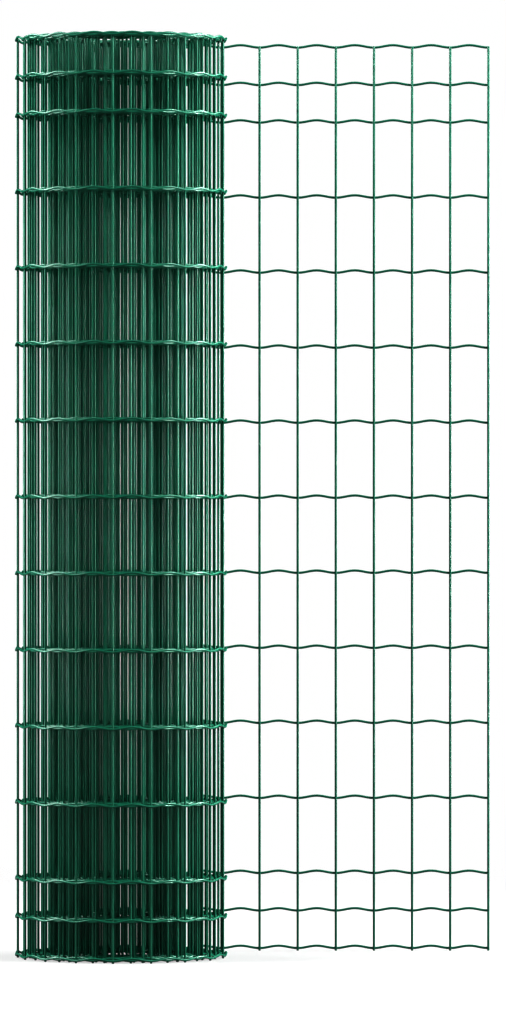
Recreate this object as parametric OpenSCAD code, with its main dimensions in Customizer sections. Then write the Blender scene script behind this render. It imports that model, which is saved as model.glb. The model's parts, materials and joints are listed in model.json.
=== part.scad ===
// Roll of plastic-coated welded wire fencing, standing on its end, with its free end drawn out flat.
// Millimetres, +Z up. The origin is on the roll's axis, level with the lower ends of the cross wires.
// The free end leaves the roll at the back (+Y) and runs along +X. Line wires are on the outer face.

/* [Mesh] */
// Height of the tall cells
row_pitch = 100; // [60:5:150]
// Number of tall cells between the two edges
tall_cells = 10; // [4:1:14]
// Height of the short cells along both edges
edge_pitch = 50; // [30:5:75]
// Number of short cells along each edge
edge_cells = 2; // [1:1:3]
// Distance between neighbouring cross wires
cross_pitch = 50.8; // [40:0.4:80]

/* [Wire] */
// Diameter of the line wires over their coating
line_d = 3; // [2:0.1:4]
// Diameter of the cross wires over their coating
cross_d = 3; // [2:0.1:4]
// Depth that a cross wire is pressed into a line wire at the weld
weld_depth = 0.65; // [0.2:0.05:0.9]
// Height of the crimp waves in the line wires, from trough to crest
wave_h = 3.2; // [1:0.1:6]
// Length of the cross wires below the centre of the lowest line wire
stub_below = 3.2; // [2:0.1:8]
// Length of the cross wires above the centre of the top line wire
stub_above = 1.5; // [1.5:0.1:8]

/* [Roll] */
// Diameter of the roll over its outermost line wires
roll_d = 289; // [240:1:400]
// Number of turns in the roll
turns = 17; // [6:1:20]
// Gap between the line wires of neighbouring turns where they lie tight
turn_gap = 2.5; // [2:0.1:4]
// Width that the outer turns have sprung open by, in all
slack = 8; // [0:0.5:15]
// Number of turns that hold two thirds of that slack
slack_turns = 3; // [1:0.5:6]
// Depth to which those gaps are open at both ends
gap_depth = 8; // [4:1:30]

/* [Free end] */
// Number of cells between the first and the last cross wire of the free end
free_cells = 8; // [2:1:14]
// Distance from the roll's axis to the free end's first cross wire that is clear of the roll, along X
first_cross_x = 76.1; // [60:0.1:120]
// Distance from the roll's axis to where the free line wires stand clear of the roll, along X
peel_x = 10; // [8:1:18]

/* [Hidden] */

// Straight lengths in which one crimp wave is drawn
wave_steps = 8;
// Sides of a free cross wire
wire_sides = 8;
// Sides of the round shapes
$fn = 96;

// Heights of the line wires, from the lowest to the top one, at their wave troughs
edge_rows = [for (i = [1:edge_cells]) edge_pitch];
row_gaps = concat(edge_rows, [for (i = [1:tall_cells]) row_pitch], edge_rows);
function total(list, count) = count == 0 ? 0 : list[count - 1] + total(list, count - 1);
row_z = [for (n = [0:len(row_gaps)]) stub_below + total(row_gaps, n)];
top_row_z = row_z[len(row_gaps)];
mesh_h = top_row_z + stub_above;
crest_z = top_row_z + wave_h + line_d / 2;

// The mesh's own thickness, and the radii of its turns' line wires, counted from the outer turn, which is 0
mesh_t = line_d + cross_d - weld_depth;
roll_r = roll_d / 2;
function line_r(turn) =
    roll_r - line_d / 2 - turn * (line_d + turn_gap) - slack * (1 - exp(-turn / slack_turns));
bore_r = line_r(turns - 1) + line_d / 2 - mesh_t;

// The plane of the free end
line_y = line_r(0);
cross_y = roll_r - mesh_t + cross_d / 2;
cross_x = [for (i = [0:free_cells]) first_cross_x + i * cross_pitch];
end_x = cross_x[free_cells] + cross_d / 2;

// Points of one end of the turned section, from the bore outwards: a crest for each turn, a gap between two
function end_points(crest, root) = concat(
    [[bore_r, crest]],
    [for (turn = [turns - 1:-1:1], side = [0:3])
        [line_r(side < 2 ? turn : turn - 1) + (side < 2 ? 1 : -1) * line_d / 2,
         side == 0 || side == 3 ? crest : root]],
    [[roll_r, crest]]);
function reversed(list) = [for (i = [len(list) - 1:-1:0]) list[i]];

// Height of a crimped line wire above its row, which is nothing at every cross wire
function wave(x) = wave_h / 2 * (1 - cos(360 * (x - first_cross_x) / cross_pitch));
wave_step = cross_pitch / wave_steps;
first_step = ceil((peel_x - first_cross_x) / wave_step + 0.5);
last_step = free_cells * wave_steps;
wave_x = concat(
    [peel_x],
    [for (step = [first_step:last_step]) first_cross_x + step * wave_step],
    [end_x]);

module wound_mesh() {
    color("seagreen")
        rotate_extrude()
            polygon(concat(end_points(0, gap_depth), reversed(end_points(crest_z, crest_z - gap_depth))));
}

module line_wire(z) {
    translate([0, line_y + line_d / 2, z])
        rotate([90, 0, 0])
            linear_extrude(height = line_d)
                polygon(concat(
                    [for (x = wave_x) [x, wave(x) + line_d / 2]],
                    reversed([for (x = wave_x) [x, wave(x) - line_d / 2]])));
}

module cross_wire(x) {
    half_side = 180 / wire_sides;
    translate([x, cross_y, 0])
        rotate(half_side)
            cylinder(d = cross_d / cos(half_side), h = mesh_h, $fn = wire_sides);
}

module free_end() {
    color("seagreen")
        difference() {
            union() {
                for (z = row_z) line_wire(z);
                for (x = cross_x) cross_wire(x);
            }
            // The roll itself, whose outer turn the free end peels away from
            translate([0, 0, -gap_depth])
                cylinder(r = roll_r, h = crest_z + 2 * gap_depth);
        }
}

wound_mesh();
free_end();
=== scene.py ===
"""Looks of a roll of plastic-coated welded wire fencing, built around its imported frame.

The mesh is made the way the real one is. Each line wire is drawn as a straight bar, crimped, and
wound: flat along the back of the roll, then round and round towards its axis. The cross wires are
set upright along the same route, on the inner side of the line wires, and joined to them at welds
that the plastic coating has filled.
"""

from __future__ import annotations

import json
import logging
import math
from dataclasses import dataclass
from enum import Enum
from typing import Iterable

import bmesh
import bpy
from mathutils import Matrix, Vector

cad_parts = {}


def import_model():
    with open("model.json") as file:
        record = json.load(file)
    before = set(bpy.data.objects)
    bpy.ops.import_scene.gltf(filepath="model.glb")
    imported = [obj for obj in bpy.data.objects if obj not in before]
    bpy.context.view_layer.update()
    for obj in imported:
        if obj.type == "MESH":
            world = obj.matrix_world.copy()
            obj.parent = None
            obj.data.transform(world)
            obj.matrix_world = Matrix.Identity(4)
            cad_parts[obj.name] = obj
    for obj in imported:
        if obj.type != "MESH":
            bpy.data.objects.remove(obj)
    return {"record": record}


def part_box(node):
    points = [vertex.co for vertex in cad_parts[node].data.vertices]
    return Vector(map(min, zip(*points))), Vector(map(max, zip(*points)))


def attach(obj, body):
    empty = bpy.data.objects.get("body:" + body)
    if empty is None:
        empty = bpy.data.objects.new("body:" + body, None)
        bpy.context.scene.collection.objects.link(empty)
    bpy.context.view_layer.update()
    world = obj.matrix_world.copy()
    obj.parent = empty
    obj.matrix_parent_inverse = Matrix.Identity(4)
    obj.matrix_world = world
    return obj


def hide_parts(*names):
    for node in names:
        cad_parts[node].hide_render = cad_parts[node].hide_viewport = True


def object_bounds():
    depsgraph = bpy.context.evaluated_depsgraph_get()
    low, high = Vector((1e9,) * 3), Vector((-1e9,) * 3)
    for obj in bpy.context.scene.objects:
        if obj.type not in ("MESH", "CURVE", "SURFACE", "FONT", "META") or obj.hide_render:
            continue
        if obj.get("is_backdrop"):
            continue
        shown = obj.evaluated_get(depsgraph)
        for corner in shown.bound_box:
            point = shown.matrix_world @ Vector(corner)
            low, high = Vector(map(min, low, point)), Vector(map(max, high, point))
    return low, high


LOG = logging.getLogger("wire_fencing_roll")
MM = 0.001
FULL_TURN = 2 * math.pi
GRAIN = "grain"
NOISE_RANGE = (0.3, 0.7)
NOISE_ROUGHNESS = 0.55
SMOOTH_ANGLE = math.radians(50)
TURN_FINDING_STEPS = 6

# How loosely the roll is wound: where its centre lies, the clearance between its tight turns, and
# how far, and over how many turns, its outside has sprung open. They are chosen values.
CENTRE_X = -1.91 * MM
TURN_CLEARANCE = 0.094 * MM
SLACK = 5.94 * MM
SLACK_TURNS = 0.912


class Section(Enum):
    """How finely a round wire is drawn: the number of its sides."""

    LINE = 8
    CROSS = 12


# ---------------------------------------------------------------------------------------------
# Finishes
# ---------------------------------------------------------------------------------------------


class NodeBoard:
    """The node tree of one material or world, with short ways to add and join its nodes."""

    def __init__(self, tree: bpy.types.NodeTree) -> None:
        """Empties the tree.

        Args:
            tree: The node tree to fill.
        """
        self.tree = tree
        tree.nodes.clear()

    def add(self, kind: str, **settings: object) -> bpy.types.Node:
        """Adds a node.

        Args:
            kind: The node's type name, without its ShaderNode prefix.
            settings: Properties of the node, and socket values under their names in lower case.

        Returns:
            The new node.
        """
        node = self.tree.nodes.new("ShaderNode" + kind)
        sockets = {socket.name.lower().replace(" ", "_"): socket for socket in reversed(node.inputs)}
        for name, value in settings.items():
            if name in sockets:
                sockets[name].default_value = value
            else:
                setattr(node, name, value)
        return node

    def join(self, source: bpy.types.NodeSocket, target: bpy.types.NodeSocket) -> None:
        """Links an output to an input."""
        self.tree.links.new(source, target)

    def noise(self, place: bpy.types.NodeSocket, scale: float, detail: float) -> bpy.types.NodeSocket:
        """Adds a noise pattern.

        Args:
            place: Where the pattern reads its coordinates.
            scale: Lumps per metre.
            detail: Octaves of finer noise.

        Returns:
            The pattern's value.
        """
        node = self.add("TexNoise", scale=scale, detail=detail, roughness=NOISE_ROUGHNESS)
        self.join(place, node.inputs["Vector"])
        return node.outputs["Fac"]

    def ramp(
        self, value: bpy.types.NodeSocket, low: tuple[float, ...], high: tuple[float, ...]
    ) -> bpy.types.NodeSocket:
        """Blends two colours by a noise value.

        Args:
            value: The value to read, which lies mostly within NOISE_RANGE.
            low: The colour at the range's lower end.
            high: The colour at its upper end.

        Returns:
            The colour.
        """
        node = self.add("ValToRGB")
        self.join(value, node.inputs["Fac"])
        for element, place, colour in zip(node.color_ramp.elements, NOISE_RANGE, (low, high)):
            element.position = place
            element.color = (*colour, 1.0)
        return node.outputs["Color"]

    def span(self, value: bpy.types.NodeSocket, low: float, high: float) -> bpy.types.NodeSocket:
        """Maps a noise value onto a range.

        Args:
            value: The value to read, which lies mostly within NOISE_RANGE.
            low: What the range's lower end becomes.
            high: What its upper end becomes.

        Returns:
            The mapped value.
        """
        node = self.add("MapRange")
        self.join(value, node.inputs["Value"])
        node.inputs["From Min"].default_value, node.inputs["From Max"].default_value = NOISE_RANGE
        node.inputs["To Min"].default_value = low
        node.inputs["To Max"].default_value = high
        return node.outputs["Result"]

    def bump(self, value: bpy.types.NodeSocket, strength: float, distance: float) -> bpy.types.Node:
        """Adds a bump that follows a value."""
        node = self.add("Bump", strength=strength, distance=distance)
        self.join(value, node.inputs["Height"])
        return node

    def show(self, surface: bpy.types.NodeSocket, kind: str = "OutputMaterial") -> None:
        """Makes a shader the tree's result."""
        self.join(surface, self.add(kind).inputs["Surface"])


@dataclass(frozen=True)
class PlasticCoating:
    """The smooth green plastic on the wires, with faint die lines along them.

    Patterns have their lumps per metre, and bumps their heights in metres.
    """

    name: str = "green_plastic_coating"
    deep: tuple[float, float, float] = (0.018, 0.165, 0.105)
    bright: tuple[float, float, float] = (0.027, 0.210, 0.138)
    gloss: float = 0.20
    matt: float = 0.28
    refraction: float = 1.55
    stretch: float = 0.02
    streak_scale: float = 2600.0
    cloud_scale: float = 28.0
    lump_scale: float = 420.0
    streak_bump: float = 0.1
    streak_height: float = 0.05 * MM
    lump_bump: float = 0.08
    lump_height: float = 0.1 * MM

    def material(self) -> bpy.types.Material:
        """Builds the material."""
        material = bpy.data.materials.new(self.name)
        material.use_nodes = True
        board = NodeBoard(material.node_tree)
        grain = board.add("Attribute", attribute_name=GRAIN).outputs["Vector"]
        along = board.add("Mapping")
        board.join(grain, along.inputs["Vector"])
        along.inputs["Scale"].default_value = (self.stretch, 1.0, 1.0)
        streaks = board.noise(along.outputs["Vector"], self.streak_scale, 2.0)
        clouds = board.noise(grain, self.cloud_scale, 3.0)
        lumps = board.noise(grain, self.lump_scale, 2.0)
        shader = board.add("BsdfPrincipled", ior=self.refraction)
        board.join(board.ramp(clouds, self.deep, self.bright), shader.inputs["Base Color"])
        board.join(board.span(streaks, self.gloss, self.matt), shader.inputs["Roughness"])
        fine = board.bump(streaks, self.streak_bump, self.streak_height)
        coarse = board.bump(lumps, self.lump_bump, self.lump_height)
        board.join(fine.outputs["Normal"], coarse.inputs["Normal"])
        board.join(coarse.outputs["Normal"], shader.inputs["Normal"])
        board.show(shader.outputs["BSDF"])
        return material


@dataclass(frozen=True)
class CutSteel:
    """The bare steel core that shows where a line wire is cut."""

    name: str = "cut_steel"
    dark: tuple[float, float, float] = (0.20, 0.20, 0.20)
    light: tuple[float, float, float] = (0.46, 0.45, 0.44)
    gloss: float = 0.30
    matt: float = 0.50
    shear: float = 8.0
    mark_scale: float = 900.0
    mark_bump: float = 0.4
    mark_height: float = 0.05 * MM

    def material(self) -> bpy.types.Material:
        """Builds the material."""
        material = bpy.data.materials.new(self.name)
        material.use_nodes = True
        board = NodeBoard(material.node_tree)
        place = board.add("TexCoord").outputs["Object"]
        shear = board.add("Mapping")
        board.join(place, shear.inputs["Vector"])
        shear.inputs["Scale"].default_value = (1.0, 1.0, self.shear)
        marks = board.noise(shear.outputs["Vector"], self.mark_scale, 3.0)
        shader = board.add("BsdfPrincipled", metallic=1.0)
        board.join(board.ramp(marks, self.dark, self.light), shader.inputs["Base Color"])
        board.join(board.span(marks, self.gloss, self.matt), shader.inputs["Roughness"])
        bump = board.bump(marks, self.mark_bump, self.mark_height)
        board.join(bump.outputs["Normal"], shader.inputs["Normal"])
        board.show(shader.outputs["BSDF"])
        return material


@dataclass(frozen=True)
class PaleFloor:
    """The studio floor, which fades out away from the roll."""

    name: str = "pale_floor"
    colour: tuple[float, float, float] = (0.16, 0.16, 0.16)
    glow: float = 0.60
    roughness: float = 0.8
    near: float = 0.9
    far: float = 2.4

    def material(self) -> bpy.types.Material:
        """Builds the material."""
        material = bpy.data.materials.new(self.name)
        material.use_nodes = True
        board = NodeBoard(material.node_tree)
        place = board.add("TexCoord").outputs["Object"]
        reach = board.add("VectorMath", operation="LENGTH")
        board.join(place, reach.inputs[0])
        fade = board.add("MapRange", interpolation_type="SMOOTHSTEP")
        board.join(reach.outputs["Value"], fade.inputs["Value"])
        fade.inputs["From Min"].default_value = self.near
        fade.inputs["From Max"].default_value = self.far
        shader = board.add("BsdfPrincipled", base_color=(*self.colour, 1.0), roughness=self.roughness)
        glow = board.add("Emission", color=(1.0, 1.0, 1.0, 1.0))
        rays = board.add("LightPath")
        seen = board.add("Math", operation="MULTIPLY")
        board.join(rays.outputs["Is Camera Ray"], seen.inputs[0])
        seen.inputs[1].default_value = self.glow
        board.join(seen.outputs["Value"], glow.inputs["Strength"])
        lit = board.add("AddShader")
        board.join(shader.outputs["BSDF"], lit.inputs[0])
        board.join(glow.outputs["Emission"], lit.inputs[1])
        clear = board.add("BsdfTransparent")
        mix = board.add("MixShader")
        board.join(fade.outputs["Result"], mix.inputs["Fac"])
        board.join(lit.outputs["Shader"], mix.inputs[1])
        board.join(clear.outputs["BSDF"], mix.inputs[2])
        board.show(mix.outputs["Shader"])
        return material


# ---------------------------------------------------------------------------------------------
# The mesh
# ---------------------------------------------------------------------------------------------


@dataclass(frozen=True)
class MeshSizes:
    """Sizes of the welded mesh before it is wound, in metres."""

    line_d: float = 3.0 * MM
    cross_d: float = 3.0 * MM
    core_d: float = 2.5 * MM
    weld_depth: float = 0.65 * MM
    cross_pitch: float = 50.8 * MM
    row_pitch: float = 100 * MM
    edge_pitch: float = 50 * MM
    tall_cells: int = 10
    edge_cells: int = 2
    wave_h: float = 3.2 * MM
    stub_below: float = 3.2 * MM
    stub_above: float = 1.5 * MM
    cells: int = 197

    @property
    def thickness(self) -> float:
        """Thickness of the mesh over both layers of wire."""
        return self.line_d + self.cross_d - self.weld_depth

    @property
    def wire_offset(self) -> float:
        """Distance from a line wire's centre to a cross wire's, through the mesh."""
        return (self.line_d + self.cross_d) / 2 - self.weld_depth

    @property
    def length(self) -> float:
        """Distance from the first cross wire to the last one."""
        return self.cells * self.cross_pitch

    @property
    def rows(self) -> list[float]:
        """Heights of the line wires' troughs, from the lowest to the top one."""
        edge = [self.edge_pitch] * self.edge_cells
        heights = [self.stub_below]
        for gap in edge + [self.row_pitch] * self.tall_cells + edge:
            heights.append(heights[-1] + gap)
        return heights

    def crimp(self, along: float) -> float:
        """Height of a line wire's wave above its trough, which is at every cross wire."""
        return self.wave_h / 2 * (1 - math.cos(FULL_TURN * along / self.cross_pitch))


@dataclass(frozen=True)
class Winding:
    """The route of the line wires: straight along the roll's back, then inwards round its axis.

    Distances run along the mesh from its free edge. The turns lie tight inside, and the outer ones
    have sprung open, which leaves their centre a little off the Z axis, along X.
    """

    centre_x: float
    radius: float
    free_length: float
    tight_pitch: float
    slack: float
    slack_turns: float

    def radius_at(self, turns: float) -> float:
        """Radius of the line wires' centres after a number of turns."""
        opened = self.slack * (1 - math.exp(-turns / self.slack_turns))
        return self.radius - self.tight_pitch * turns - opened

    def wound_length(self, turns: float) -> float:
        """Length of line wire in a number of turns, from the outside."""
        eased = turns - self.slack_turns * (1 - math.exp(-turns / self.slack_turns))
        return FULL_TURN * (self.radius * turns - self.tight_pitch * turns**2 / 2 - self.slack * eased)

    def turns_at(self, along: float) -> float:
        """Turns wound at a distance along the mesh, from the place where the free end leaves."""
        wound = along - self.free_length
        if wound <= 0:
            return 0.0
        turns = wound / (FULL_TURN * self.radius)
        for _ in range(TURN_FINDING_STEPS):
            turns += (wound - self.wound_length(turns)) / (FULL_TURN * self.radius_at(turns))
        return turns

    def layer(self, along: float) -> int:
        """Number of the turn, from 1 on the outside, or 0 on the flat free end."""
        turns = self.turns_at(along)
        return 0 if turns == 0 else 1 + int(turns)

    def place(self, along: float, inward: float = 0.0) -> Matrix:
        """Where the mesh lies.

        Args:
            along: Distance along the mesh.
            inward: Distance from the line wires' centres towards the axis.

        Returns:
            A frame whose X axis runs along the mesh, whose Y axis points out of the roll, and
            whose Z axis is up.
        """
        turns = self.turns_at(along)
        angle = FULL_TURN * turns
        radius = self.radius_at(turns) - inward
        straight = max(self.free_length - along, 0.0)
        outward = Vector((-math.sin(angle), math.cos(angle), 0.0))
        onward = Vector((-math.cos(angle), -math.sin(angle), 0.0))
        centre = Vector((self.centre_x, 0.0, 0.0)) + outward * radius - onward * straight
        turned = Matrix((onward, outward, (0.0, 0.0, 1.0))).transposed().to_4x4()
        return Matrix.Translation(centre) @ turned


class WeldedMesh:
    """The whole length of mesh, made as one piece for each line wire and each turn's cross wires."""

    def __init__(self, sizes: MeshSizes, winding: Winding, top: float, slot: str) -> None:
        """Takes the sizes and makes the finishes.

        Args:
            sizes: Sizes of the flat mesh.
            winding: Its route.
            top: Height of the cross wires' upper ends.
            slot: The material slot named in the record; it is not used.
        """
        self.sizes = sizes
        self.winding = winding
        self.top = top
        self.slot = slot
        self.coating = PlasticCoating().material()
        self.steel = CutSteel().material()
        self.steps_per_cell = 12
        self.cap_round = 0.45 * MM
        self.fillet_reach = 1.9 * MM
        self.fillet_depth = 1.0 * MM

    def build(self, nodes: Iterable[str]) -> list[bpy.types.Object]:
        """Makes every piece.

        Args:
            nodes: The frame's nodes that the pieces stand for.

        Returns:
            The pieces.
        """
        pieces = self.line_wires() + self.cross_wires()
        for piece in pieces:
            piece.data.materials.append(self.coating)
            piece.data.materials.append(self.steel)
            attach(piece, "root")
            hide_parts(*nodes)
            LOG.info("%s: %d faces", piece.name, len(piece.data.polygons))
        return pieces

    def line_wires(self) -> list[bpy.types.Object]:
        """Makes the line wires, which differ only in height, with the welds on them."""
        shape = self.line_wire_shape()
        pieces = []
        for number, height in enumerate(self.sizes.rows, start=1):
            data = shape.copy()
            data.transform(Matrix.Translation((0.0, 0.0, height)))
            pieces.append(self.piece(f"line_wire_{number:02d}", data))
        bpy.data.meshes.remove(shape)
        return pieces

    def line_wire_shape(self) -> bpy.types.Mesh:
        """Draws one line wire straight, crimps it, and winds it with its welds."""
        wire = bmesh.new()
        sizes = self.sizes
        bmesh.ops.create_cone(
            wire,
            cap_ends=True,
            segments=Section.LINE.value,
            radius1=sizes.line_d / 2,
            radius2=sizes.line_d / 2,
            depth=sizes.length,
            matrix=Matrix.Translation((sizes.length / 2, 0.0, 0.0)) @ Matrix.Rotation(math.pi / 2, 4, "Y"),
        )
        long_edges = [edge for edge in wire.edges if edge.calc_length() > sizes.length / 2]
        bmesh.ops.subdivide_edges(
            wire, edges=long_edges, cuts=sizes.cells * self.steps_per_cell - 1, use_grid_fill=True
        )
        self.trim_ends(wire)
        self.mark_grain(wire)
        for vert in wire.verts:
            along = vert.co.x
            across = Vector((0.0, vert.co.y, vert.co.z + sizes.crimp(along)))
            vert.co = self.winding.place(along) @ across
        for cell in range(sizes.cells + 1):
            self.weld(wire, cell * sizes.cross_pitch)
        return self.finished(wire, "line_wire")

    def trim_ends(self, wire: bmesh.types.BMesh) -> None:
        """Lengthens the bar over its last cross wires and bares the steel on its cut faces."""
        sizes = self.sizes
        for face in [face for face in wire.faces if len(face.verts) == Section.LINE.value]:
            outward = math.copysign(sizes.cross_d / 2, face.normal.x)
            bmesh.ops.translate(wire, verts=list(face.verts), vec=(outward, 0.0, 0.0))
            bmesh.ops.inset_region(
                wire, faces=[face], thickness=(sizes.line_d - sizes.core_d) / 2, use_even_offset=True
            )
            face.material_index = 1

    def weld(self, wire: bmesh.types.BMesh, along: float) -> None:
        """Adds the coating that fills the corners where a cross wire meets the line wire.

        Args:
            wire: The mesh to add to.
            along: Distance along the mesh.
        """
        depth = (self.sizes.line_d - self.sizes.weld_depth) / 2
        last = along in (0.0, self.sizes.length)
        reach = self.sizes.cross_d / 2 if last else self.fillet_reach
        shape = Matrix.Diagonal((reach, self.fillet_depth, self.fillet_reach, 1.0))
        bmesh.ops.create_icosphere(
            wire, subdivisions=1, radius=1.0, matrix=self.winding.place(along, depth) @ shape
        )

    def cross_wires(self) -> list[bpy.types.Object]:
        """Makes the cross wires, one piece for the free end and one for each turn."""
        groups: dict[int, list[float]] = {}
        for cell in range(self.sizes.cells + 1):
            along = cell * self.sizes.cross_pitch
            groups.setdefault(self.winding.layer(along), []).append(along)
        pieces = []
        for turn, places in groups.items():
            wires = bmesh.new()
            for along in places:
                self.cross_wire(wires, along)
            name = f"cross_wires_turn_{turn:02d}" if turn else "cross_wires_free_end"
            pieces.append(self.piece(name, self.finished(wires, name)))
        return pieces

    def cross_wire(self, wires: bmesh.types.BMesh, along: float) -> None:
        """Adds one upright wire with rounded, coated ends.

        Args:
            wires: The mesh to add to.
            along: Distance along the mesh.
        """
        sizes = self.sizes
        layer = wires.verts.layers.float_vector.get(GRAIN) or wires.verts.layers.float_vector.new(GRAIN)
        made = bmesh.ops.create_cone(
            wires,
            cap_ends=True,
            segments=Section.CROSS.value,
            radius1=sizes.cross_d / 2,
            radius2=sizes.cross_d / 2,
            depth=self.top,
            matrix=Matrix.Translation((0.0, 0.0, self.top / 2)),
        )["verts"]
        rims = {edge for vert in made for edge in vert.link_edges if edge.calc_length() < sizes.cross_d}
        rounded = bmesh.ops.bevel(
            wires,
            geom=list(rims),
            offset=self.cap_round,
            segments=2,
            profile=0.5,
            affect="EDGES",
            material=-1,
        )["verts"]
        verts = {vert for vert in [*made, *rounded] if vert.is_valid}
        for vert in verts:
            vert[layer] = (vert.co.z + along, vert.co.x, vert.co.y)
        bmesh.ops.transform(wires, verts=list(verts), matrix=self.winding.place(along, sizes.wire_offset))

    def mark_grain(self, wire: bmesh.types.BMesh) -> None:
        """Keeps each point's place on the straight bar, for patterns that follow the wire."""
        layer = wire.verts.layers.float_vector.new(GRAIN)
        for vert in wire.verts:
            vert[layer] = vert.co

    def finished(self, shape: bmesh.types.BMesh, name: str) -> bpy.types.Mesh:
        """Turns a finished shape into a smooth mesh.

        Args:
            shape: The shape, which is freed.
            name: Name of the mesh.

        Returns:
            The mesh.
        """
        bmesh.ops.recalc_face_normals(shape, faces=shape.faces)
        for face in shape.faces:
            face.smooth = True
        data = bpy.data.meshes.new(name)
        shape.to_mesh(data)
        shape.free()
        data.set_sharp_from_angle(angle=SMOOTH_ANGLE)
        return data

    def piece(self, name: str, data: bpy.types.Mesh) -> bpy.types.Object:
        """Links a mesh into the scene as a named piece."""
        data.name = name
        made = bpy.data.objects.new(name, data)
        bpy.context.scene.collection.objects.link(made)
        return made


# ---------------------------------------------------------------------------------------------
# The studio
# ---------------------------------------------------------------------------------------------


@dataclass(frozen=True)
class SoftBox:
    """A rectangular studio light, aimed at the middle of the object.

    Its azimuth is in degrees from the camera's side towards +X, its height is above the middle of
    the object, its distance is level, and its power is in watts.
    """

    name: str
    azimuth: float
    height: float
    distance: float
    width: float
    tall: float
    power: float


class Studio:
    """The floor, the lights and the camera."""

    def __init__(self, low: Vector, high: Vector) -> None:
        """Takes the object's box.

        Args:
            low: Its lowest corner.
            high: Its highest corner.
        """
        self.middle = (low + high) / 2
        self.floor_level = low.z
        self.camera_distance = 9.55
        self.camera_left = 0.85 * MM
        self.lens = 255.7
        self.aim_drop = 0.0193
        self.view_reach = 100.0
        self.gamma = 0.6
        self.floor_radius = 2.5
        self.floor_sides = 64
        self.world_light = 0.01
        self.boxes = (
            SoftBox("key_right", azimuth=65.0, height=3.0, distance=3.5, width=1.2, tall=1.2, power=345.0),
            SoftBox("key_left", azimuth=-75.0, height=3.0, distance=3.5, width=1.2, tall=1.2, power=200.0),
            SoftBox("rim_left", azimuth=-120.0, height=2.1, distance=2.5, width=1.6, tall=1.6, power=105.0),
            SoftBox("rim_right", azimuth=125.0, height=2.1, distance=2.5, width=1.6, tall=1.6, power=90.0),
            SoftBox("strip_right", azimuth=95.0, height=0.0, distance=3.0, width=0.4, tall=2.4, power=220.0),
            SoftBox("strip_left", azimuth=-85.0, height=0.0, distance=3.0, width=0.6, tall=2.4, power=105.0),
        )

    def build(self) -> None:
        """Sets up the whole studio."""
        self.floor()
        self.world()
        for box in self.boxes:
            self.light(box)
        self.camera()
        bpy.context.scene.view_settings.view_transform = "Standard"
        bpy.context.scene.view_settings.gamma = self.gamma

    def floor(self) -> None:
        """Lays the floor under the roll."""
        shape = bmesh.new()
        bmesh.ops.create_circle(
            shape, cap_ends=True, segments=self.floor_sides, radius=self.floor_radius
        )
        data = bpy.data.meshes.new("floor")
        shape.to_mesh(data)
        shape.free()
        data.transform(Matrix.Translation((0.0, 0.0, self.floor_level)))
        data.materials.append(PaleFloor().material())
        floor = bpy.data.objects.new("floor", data)
        bpy.context.scene.collection.objects.link(floor)
        floor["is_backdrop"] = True

    def world(self) -> None:
        """Makes the backdrop white and the light that it gives weak."""
        world = bpy.data.worlds.new("studio")
        bpy.context.scene.world = world
        world.use_nodes = True
        board = NodeBoard(world.node_tree)
        seen = board.add("Background", color=(1.0, 1.0, 1.0, 1.0), strength=1.0)
        given = board.add("Background", color=(1.0, 1.0, 1.0, 1.0), strength=self.world_light)
        rays = board.add("LightPath")
        mix = board.add("MixShader")
        board.join(rays.outputs["Is Camera Ray"], mix.inputs["Fac"])
        board.join(given.outputs["Background"], mix.inputs[1])
        board.join(seen.outputs["Background"], mix.inputs[2])
        board.show(mix.outputs["Shader"], "OutputWorld")

    def light(self, box: SoftBox) -> None:
        """Hangs one soft box."""
        data = bpy.data.lights.new(box.name, "AREA")
        data.shape = "RECTANGLE"
        data.size = box.width
        data.size_y = box.tall
        data.energy = box.power
        turn = math.radians(box.azimuth)
        offset = Vector((math.sin(turn) * box.distance, -math.cos(turn) * box.distance, box.height))
        lamp = bpy.data.objects.new(box.name, data)
        lamp.location = self.middle + offset
        lamp.rotation_euler = (-offset).to_track_quat("-Z", "Y").to_euler()
        bpy.context.scene.collection.objects.link(lamp)

    def camera(self) -> None:
        """Sets the camera far in front, level with the middle of the roll."""
        data = bpy.data.cameras.new("camera")
        data.lens = self.lens
        data.clip_end = self.view_reach
        camera = bpy.data.objects.new("camera", data)
        camera.location = (self.middle.x - self.camera_left, -self.camera_distance, self.middle.z)
        aim = Vector((camera.location.x, 0.0, self.middle.z - self.aim_drop))
        camera.rotation_euler = (aim - camera.location).to_track_quat("-Z", "Y").to_euler()
        bpy.context.scene.collection.objects.link(camera)
        bpy.context.scene.camera = camera


def main() -> None:
    """Builds the roll around its frame."""
    logging.basicConfig(level=logging.INFO, format="%(message)s")
    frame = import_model()
    cad_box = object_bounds()
    sizes = MeshSizes()
    roll_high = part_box("wound_mesh")[1]
    free_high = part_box("free_end")[1]
    winding = Winding(
        centre_x=CENTRE_X,
        radius=free_high.y - sizes.line_d / 2,
        free_length=free_high.x - sizes.cross_d / 2 - CENTRE_X,
        tight_pitch=sizes.thickness + TURN_CLEARANCE,
        slack=SLACK,
        slack_turns=SLACK_TURNS,
    )
    top = roll_high.z - sizes.wave_h - sizes.line_d / 2 + sizes.stub_above
    slot = frame["record"]["materials"][0]["slot"]
    WeldedMesh(sizes, winding, top, slot).build(["wound_mesh", "free_end"])
    Studio(*(Vector(corner) for corner in cad_box)).build()


if __name__ == "__main__":
    main()
